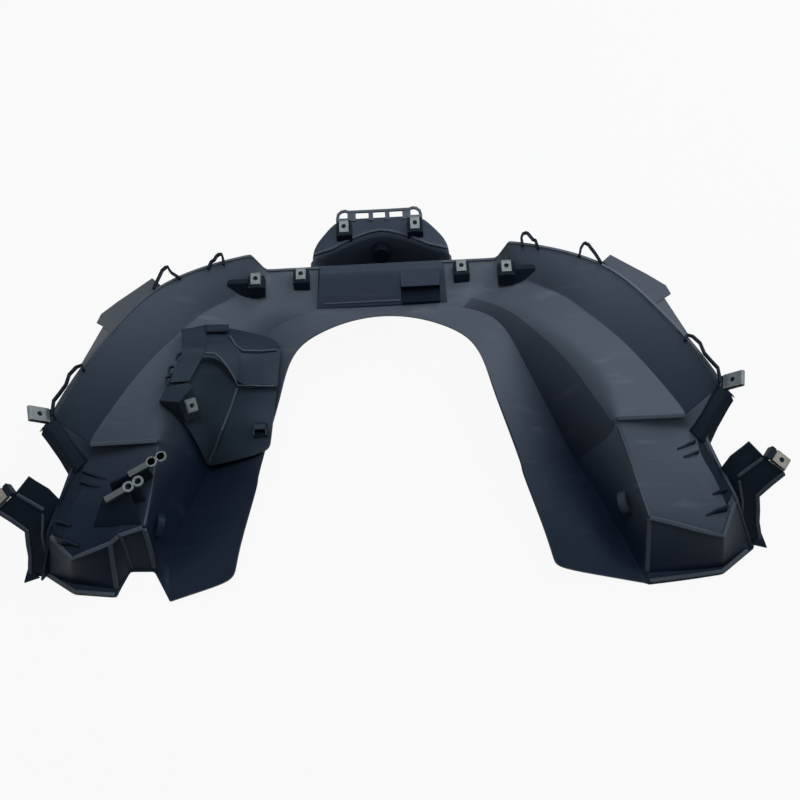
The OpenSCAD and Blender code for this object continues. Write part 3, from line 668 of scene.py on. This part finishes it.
# Struts, towers and spurs are coloured the painted-shade black.
for side in ("left", "right"):
    strut_mesh = bmesh.new()
    loft(strut_mesh, [placed(side, row) for row in strut_rows])
    face_up(strut_mesh, (-0.3, -0.5, 0.8))
    make_piece("shoulder_strut_" + side, strut_mesh, matt_painted_shade_black,
               wall=2.6 * MM, bevel=0.8 * MM)
    tower_mesh = bmesh.new()
    for rows in (tower_face, tower_fin, tower_side, tower_web):
        loft(tower_mesh, [placed(side, row) for row in rows])
    bmesh.ops.remove_doubles(tower_mesh, verts=tower_mesh.verts, dist=0.1 * MM)
    face_up(tower_mesh, (0.0, -0.6, 0.6))
    make_piece("front_tower_" + side, tower_mesh, matt_painted_shade_black, wall=2.6 * MM, bevel=0.8 * MM)
    # The ribs along the tower's edges are coloured paler as a painted highlight.
    rib_mesh = bmesh.new()
    for path, width in ((tower_rib, 3.0), (tower_edge, 4.0), (tower_column, 2.4)):
        strap(rib_mesh, placed(side, path), width * MM, 3.0 * MM, tower_lean)
    make_piece("tower_ribs_" + side, rib_mesh, edge_highlight_black, bevel=0.6 * MM)
    spur_mesh = bmesh.new()
    spur = placed(side, tower_spur)
    through(spur_mesh, [spur, [p - Vector((0, 0, 2.6 * MM)) for p in spur]])
    make_piece("tower_spur_" + side, spur_mesh, matt_painted_shade_black, bevel=0.4 * MM)

# Tabs that carry the shoulder nuts and the tower nuts, with a foot behind each and a bar that ties the
# shoulder's foot to the head of its strut. They are moulded with the panel.
# The carriers are coloured the painted-shade black.
carrier_mesh = bmesh.new()
shoulder_tab = turned((333, -28, 100), (-12, "Z"), (-48, "Y"), (-90, "Z"))
tower_tab = turned((364, -107, 88), (-38, "Z"), (18, "Y"), (-90, "Z"))
shoulder_tie = [[(319, -30, 88), (329, -37, 88), (329, -37, 92), (319, -30, 92)],
                [(325.3, -19.5, 87.5), (322.3, -33, 87.5), (322.3, -33, 91), (325.3, -19.5, 91)]]
for mirror in (Matrix.Identity(4), mirror_x):
    block(carrier_mesh, (-7, -13, -1.1), (7, 6.5, 1.1), mirror @ shoulder_tab)
    block(carrier_mesh, (-8, -16, -4), (8, -11.5, 1.4), mirror @ shoulder_tab)
    block(carrier_mesh, (-5.5, -10.5, -1.1), (5.5, 5, 1.1), mirror @ tower_tab)
    block(carrier_mesh, (-6.5, -13.5, -7), (6.5, -8.5, 1.2), mirror @ tower_tab)
    through(carrier_mesh, [[mirror @ at(p) for p in ring] for ring in shoulder_tie])
make_piece("nut_carriers", carrier_mesh, matt_painted_shade_black, bevel=0.5 * MM)

# Left side cover: a moulded black cap over the left edge of the arch, with a rear wall, a stepped
# shoulder, a scoop with a ridge, a clip block that its nut sits on and an open catch.
cover_black = plastic("cover_black", (0.015, 0.023, 0.033), (0.045, 0.055, 0.066), 0.34, 1400.0, 0.0001)
cover_rows = [
    [(112, 69, 53), (136, 75, 58), (159, 76, 71), (182, 73, 78), (205, 68, 84)],
    [(107, 56, 56), (142, 42, 81), (154, 57, 85), (175, 55, 87.5), (199, 41, 92)],
    [(107, 53, 57), (142, 38, 82), (154, 52, 87), (174, 50, 89), (200, 38, 92)],
    [(109, 32, 57), (142, 22, 80), (154, 36, 86), (172, 43, 88.5), (202, 32, 91)],
    [(110, 12, 57), (145, 6, 75), (156, 23, 83), (171, 37, 87), (205, 26, 90)],
    [(111, 9, 53), (148, 4, 67), (160, 22, 73), (177, 35, 81), (208, 18, 88)],
    [(113, -8, 51), (157, -14, 61), (170, 6, 64), (184, 20, 76), (214, 8, 86)],
    [(115, -26, 49), (165, -33, 54), (178, -10, 58), (190, 0, 72), (217, -4, 85)],
    [(118, -45, 47.5), (178, -48, 33), (188, -28, 45), (197, -14, 66), (221, -11, 84.5)],
    [(120, -57, 46.5), (186, -56, 17), (194, -37, 45), (202, -24, 69), (222, -13, 84.5)]]
cover_mesh = bmesh.new()
cover_grid = loft(cover_mesh, [placed("left", row) for row in cover_rows])
for row, value in ((1, 0.6), (4, 1.0), (5, 0.9)):
    sharpen(cover_mesh, cover_grid[row], value)
sharpen(cover_mesh, [line[1] for line in cover_grid[5:]], 0.8)
sharpen(cover_mesh, [line[1] for line in cover_grid[1:5]], 0.3)
face_up(cover_mesh)
cover = make_piece("cover_shell", cover_mesh, cover_black,
                   rounds=3, wall=2.8 * MM, bevel=0.5 * MM)
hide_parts("left_side_cover")

scoop_line = [(178.3, 37, 89), (168.7, 36.5, 87.6), (162, 31, 86), (156.7, 24, 84), (151, 15, 79),
              (147, 6.5, 73.5), (130, 8.5, 67.6), (113, 11.5, 59)]
ridge_line = [(148, 5, 71), (155.4, -12.6, 63), (164.8, -33.4, 56.3), (175.6, -45.7, 36), (184, -53.5, 21)]
shoulder_line = [(154.6, 57, 86.2), (148.5, 46.5, 84.5), (141.5, 41, 82.6), (126, 45, 73.5),
                 (110, 52.5, 60)]
# The scoop, ridge and shoulder lines are beads coloured paler as a painted highlight.
line_mesh = bmesh.new()
for path, width in ((scoop_line, 2.0), (ridge_line, 2.2), (shoulder_line, 1.8)):
    strap(line_mesh, placed("left", path), width * MM, 1.6 * MM)
make_piece("cover_beads", line_mesh, edge_highlight_black, bevel=0.6 * MM)

block_top = [(221, -14, 88.5), (215, 0, 90.5), (193, 3, 92.5), (188, -1, 91.5), (201, -17, 90.5)]
block_foot = [(219, -12, 83), (214, 2, 83), (192, 4, 76), (184, -20, 60), (199, -27, 64)]
clip_mesh = bmesh.new()
through(clip_mesh, [placed("left", block_foot), placed("left", block_top)])
make_piece("cover_clip_block", clip_mesh, cover_black, bevel=1.2 * MM, bevel_angle=25.0)

catch_mesh = bmesh.new()
catch_turn = turned((-127, -34, 51), (8, "X"))
for low, high in (((-7, 0, 3), (7, 7, 5)), ((-7, 5, -4.5), (7, 7, 5)),
                  ((-7, -6, -4.5), (-5.4, 7, 5)), ((5.4, -6, -4.5), (7, 7, 5))):
    block(catch_mesh, low, high, catch_turn)
make_piece("cover_catch", catch_mesh, cover_black, bevel=0.5 * MM)
# The floor of the open catch is in painted shadow, for the shade inside it.
catch_floor_mesh = bmesh.new()
block(catch_floor_mesh, (-5.4, -5.8, -4.5), (5.4, 5, -1.5), catch_turn)
make_piece("catch_floor", catch_floor_mesh, shadow_black)

# Adapter at the rear corner of the cover: a second moulding, folded once, that lies in the cover's
# recess along a dark parting line and has three snap hooks on its outer edge.
adapter_top = [
    [(182, 73, 80), (205, 68, 86)], [(177, 52, 89.5), (201, 52, 91.5)], [(178, 41, 91), (199, 40, 94)],
    [(178, 38, 90), (203, 30, 92.4)], [(181, 32, 88), (207, 20, 90.5)], [(193, 8, 85.5), (212, 6, 88)]]
adapter_rear = [[(182, 73, 80), (159, 76, 73)], [(178, 61.5, 87), (156, 63, 83)]]
snap_hooks = [[(200, 36, 93), (204, 34, 93), (206, 30, 91), (203, 27, 90)],
              [(209, 24, 88), (213, 23, 88), (214, 18, 87), (210, 15, 87)],
              [(212, 14, 87), (216, 12, 87), (216, 7, 86), (213, 4, 86)]]
adapter_mesh = bmesh.new()
for rows in (adapter_top, adapter_rear):
    loft(adapter_mesh, [placed("left", row) for row in rows])
bmesh.ops.remove_doubles(adapter_mesh, verts=adapter_mesh.verts, dist=0.1 * MM)
face_up(adapter_mesh)
adapter = make_piece("cover_adapter", adapter_mesh, cover_black,
                     wall=2.4 * MM, bevel=0.6 * MM)
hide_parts("cover_insert")
snap_mesh = bmesh.new()
for path in snap_hooks:
    strap(snap_mesh, placed("left", path), 2.0 * MM, 4.0 * MM)
make_piece("adapter_hooks", snap_mesh, cover_black, bevel=0.5 * MM)

# Latch arms on the left pocket: thin upright webs of the panel's moulding that lean towards the
# leg front, each with a flange on top that carries a zinc latch plate.
latch_places = {"upper_latch_plate": turned((-214, -74, 90), (30, "Z")),
                "lower_latch_plate": turned((-234, -98, 90), (30, "Z"))}
latch_webs = [[(-262, -95, 86), (-240, -85, 86), (-234, -104, 61), (-262, -106, 60)],
              [(-267, -108, 86), (-245, -99, 86), (-238, -127, 57), (-284, -126, 56)]]
# The latch arms are coloured the painted-shade black.
arm_mesh = bmesh.new()
for corners in latch_webs:
    web = [at(p) for p in corners]
    through(arm_mesh, [web, [p + Vector((-0.5, -2.4, -0.8)) * MM for p in web]])
for turn in latch_places.values():
    block(arm_mesh, (-34, -3.4, -3.2), (-10, 3.4, -0.2), turn)
    block(arm_mesh, (-33, -1.3, -30), (-16, 1.3, -3), turn)
make_piece("latch_arms", arm_mesh, matt_painted_shade_black, bevel=0.5 * MM)

# Outer walls of the pockets: rounded webs of the same moulding that stand on the floor's outer
# edge and tie the foot of each strut to the fin of its tower.
wall_rows = [
    [(288, -62, 64), (294, -64, 68), (303, -66, 68)], [(287, -77, 61), (295, -77, 66), (304, -75, 66)],
    [(289, -92, 60), (299, -90, 64), (309, -88, 64)], [(299, -107, 57), (308, -103, 61), (316, -101, 61)],
    [(311, -125, 54), (317, -119, 58), (322, -114, 58)], [(314, -143, 51), (320, -134, 54), (326, -127, 55)]]
# The outer walls are coloured the painted-shade black.
for side in ("left", "right"):
    outer_mesh = bmesh.new()
    loft(outer_mesh, [placed(side, row) for row in wall_rows])
    face_up(outer_mesh)
    make_piece("pocket_outer_wall_" + side, outer_mesh, matt_painted_shade_black,
               rounds=2, wall=2.6 * MM)

# Gussets on the pocket floors: thin moulded ribs that run out to a point from the feet
# of the struts and of the towers' fins.
gusset_t = 2.2
gusset_paths = [[(273, -82, 64), (283, -79, 67), (296, -74, 70)],
                [(279, -89, 63), (288, -88, 66), (298, -84, 68)],
                [(297, -145, 55), (306, -141, 58), (318, -138, 62)],
                [(306, -125, 57), (312, -123, 60), (320, -121, 63)]]
# The gussets are coloured the painted-shade black.
for side in ("left", "right"):
    gusset_mesh = bmesh.new()
    for tip, middle, root in gusset_paths:
        root_foot = (root[0], root[1] - 3, root[2] - 12)
        tip_foot = (tip[0], tip[1], tip[2] - 5)
        outline = placed(side, [tip, middle, root, root_foot, tip_foot])
        through(gusset_mesh, [outline, [p + Vector((0.0, -gusset_t, 0.0)) * MM for p in outline]])
    make_piece("floor_gussets_" + side, gusset_mesh, matt_painted_shade_black, bevel=0.4 * MM)

# Cable hooks in the trenches: round lugs with a hole, moulded on the inner wall
# of each pocket and leaning out from it.
hook_profile = ((12, -3.5), (12, 3.0), (11, 3.8), (6.4, 3.8), (6.0, 3.2), (6.0, -3.5))


def turned_ring(mesh, profile, turn, segments):
    """Ring with a hole: the closed outline of its section, given as radius and height, and spun."""
    corners = [mesh.verts.new(turn @ (Vector((radius, 0, height)) * MM)) for radius, height in profile]
    edges = [mesh.edges.new(pair) for pair in zip(corners, corners[1:] + corners[:1])]
    bmesh.ops.spin(mesh, geom=corners + edges, cent=turn.translation, axis=turn.to_3x3() @ Vector((0, 0, 1)),
                   angle=math.tau, steps=segments, use_merge=True)


for side, sign in (("left", -1), ("right", 1)):
    hook_mesh = bmesh.new()
    turned_ring(hook_mesh, hook_profile, turned((sign * 229, -122, 34), (sign * 54, "Y")), 24)
    bmesh.ops.recalc_face_normals(hook_mesh, faces=hook_mesh.faces)
    make_piece("cable_hook_" + side, hook_mesh, panel_black)

# Spring nuts: folded sheet steel with a thin zinc coat that is duller in patches, pushed over the
# tabs. Each keeps its shape from model.glb. The two on the towers have yellowed.


def zinc(name, colour, dull, rough):
    """Zinc coat with a fine spangle in its sheen and duller patches in its colour."""
    finish = bpy.data.materials.new(name)
    finish.use_nodes = True
    nodes = finish.node_tree.nodes
    links = finish.node_tree.links
    shader = nodes["Principled BSDF"]
    shader.inputs["Metallic"].default_value = 0.15
    place = nodes.new("ShaderNodeTexCoord")
    spangle = nodes.new("ShaderNodeTexVoronoi")
    spangle.inputs["Scale"].default_value = 420.0
    wear = nodes.new("ShaderNodeTexNoise")
    wear.inputs["Scale"].default_value = 160.0
    wear.inputs["Detail"].default_value = 6.0
    links.new(place.outputs["Object"], spangle.inputs["Vector"])
    links.new(place.outputs["Object"], wear.inputs["Vector"])
    blend = nodes.new("ShaderNodeMixRGB")
    blend.inputs["Color1"].default_value = (*colour, 1.0)
    blend.inputs["Color2"].default_value = (*dull, 1.0)
    links.new(wear.outputs["Fac"], blend.inputs["Fac"])
    links.new(blend.outputs["Color"], shader.inputs["Base Color"])
    sheen = nodes.new("ShaderNodeMapRange")
    sheen.inputs["To Min"].default_value = rough - 0.08
    sheen.inputs["To Max"].default_value = rough + 0.12
    links.new(spangle.outputs["Distance"], sheen.inputs["Value"])
    links.new(sheen.outputs["Result"], shader.inputs["Roughness"])
    relief = nodes.new("ShaderNodeBump")
    relief.inputs["Strength"].default_value = 0.25
    relief.inputs["Distance"].default_value = 0.0001
    links.new(wear.outputs["Fac"], relief.inputs["Height"])
    links.new(relief.outputs["Normal"], shader.inputs["Normal"])
    return finish


bright_zinc = zinc("bright_zinc", (0.16, 0.19, 0.20), (0.03, 0.045, 0.052), 0.42)
yellow_zinc = zinc("yellow_zinc", (0.24, 0.23, 0.20), (0.09, 0.085, 0.075), 0.48)
for node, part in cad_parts.items():
    if "nut" in node:
        part.data.materials.clear()
        part.data.materials.append(yellow_zinc if node.startswith("tower") else bright_zinc)

# Latch plates: zinc-plated steel strips on the flanges of the latch arms, each with two eyes
# stamped so that a bead stands round each. The strips are a darker copy of the zinc, a painted shade,
# and the eyes keep the plain zinc.
latch_zinc_painted_shade = zinc("latch_zinc_painted_shade", (0.035, 0.048, 0.055), (0.006, 0.010, 0.014), 0.42)
eye_rings = ((5.5, 0.0), (5.5, 1.5), (5.0, 2.2), (3.8, 2.2), (3.0, 1.4), (3.0, 0.0))
eye_pitch = 9.9
for node, turn in latch_places.items():
    plate_mesh = bmesh.new()
    block(plate_mesh, (-34, -3.2, 0), (-13, 3.2, 1.4), turn)
    block(plate_mesh, (-34, -3.4, 0), (-14, -2.2, 2.4), turn)
    eye_mesh = bmesh.new()
    for x in (0, -eye_pitch):
        rings = []
        for radius, height in eye_rings:
            seat = turn @ Matrix.Translation(Vector((x, 0, height)) * MM)
            circle = bmesh.ops.create_circle(eye_mesh, segments=28, radius=radius * MM, matrix=seat)["verts"]
            rings.append(list({edge for vert in circle for edge in vert.link_edges}))
        for near, far in zip(rings, rings[1:] + rings[:1]):
            bmesh.ops.bridge_loops(eye_mesh, edges=near + far)
    bmesh.ops.recalc_face_normals(eye_mesh, faces=eye_mesh.faces)
    make_piece(node + "_eyes", eye_mesh, bright_zinc)
    latch_plate = make_piece(node + "_dressed", plate_mesh, latch_zinc_painted_shade, bevel=0.2 * MM)
    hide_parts(node)
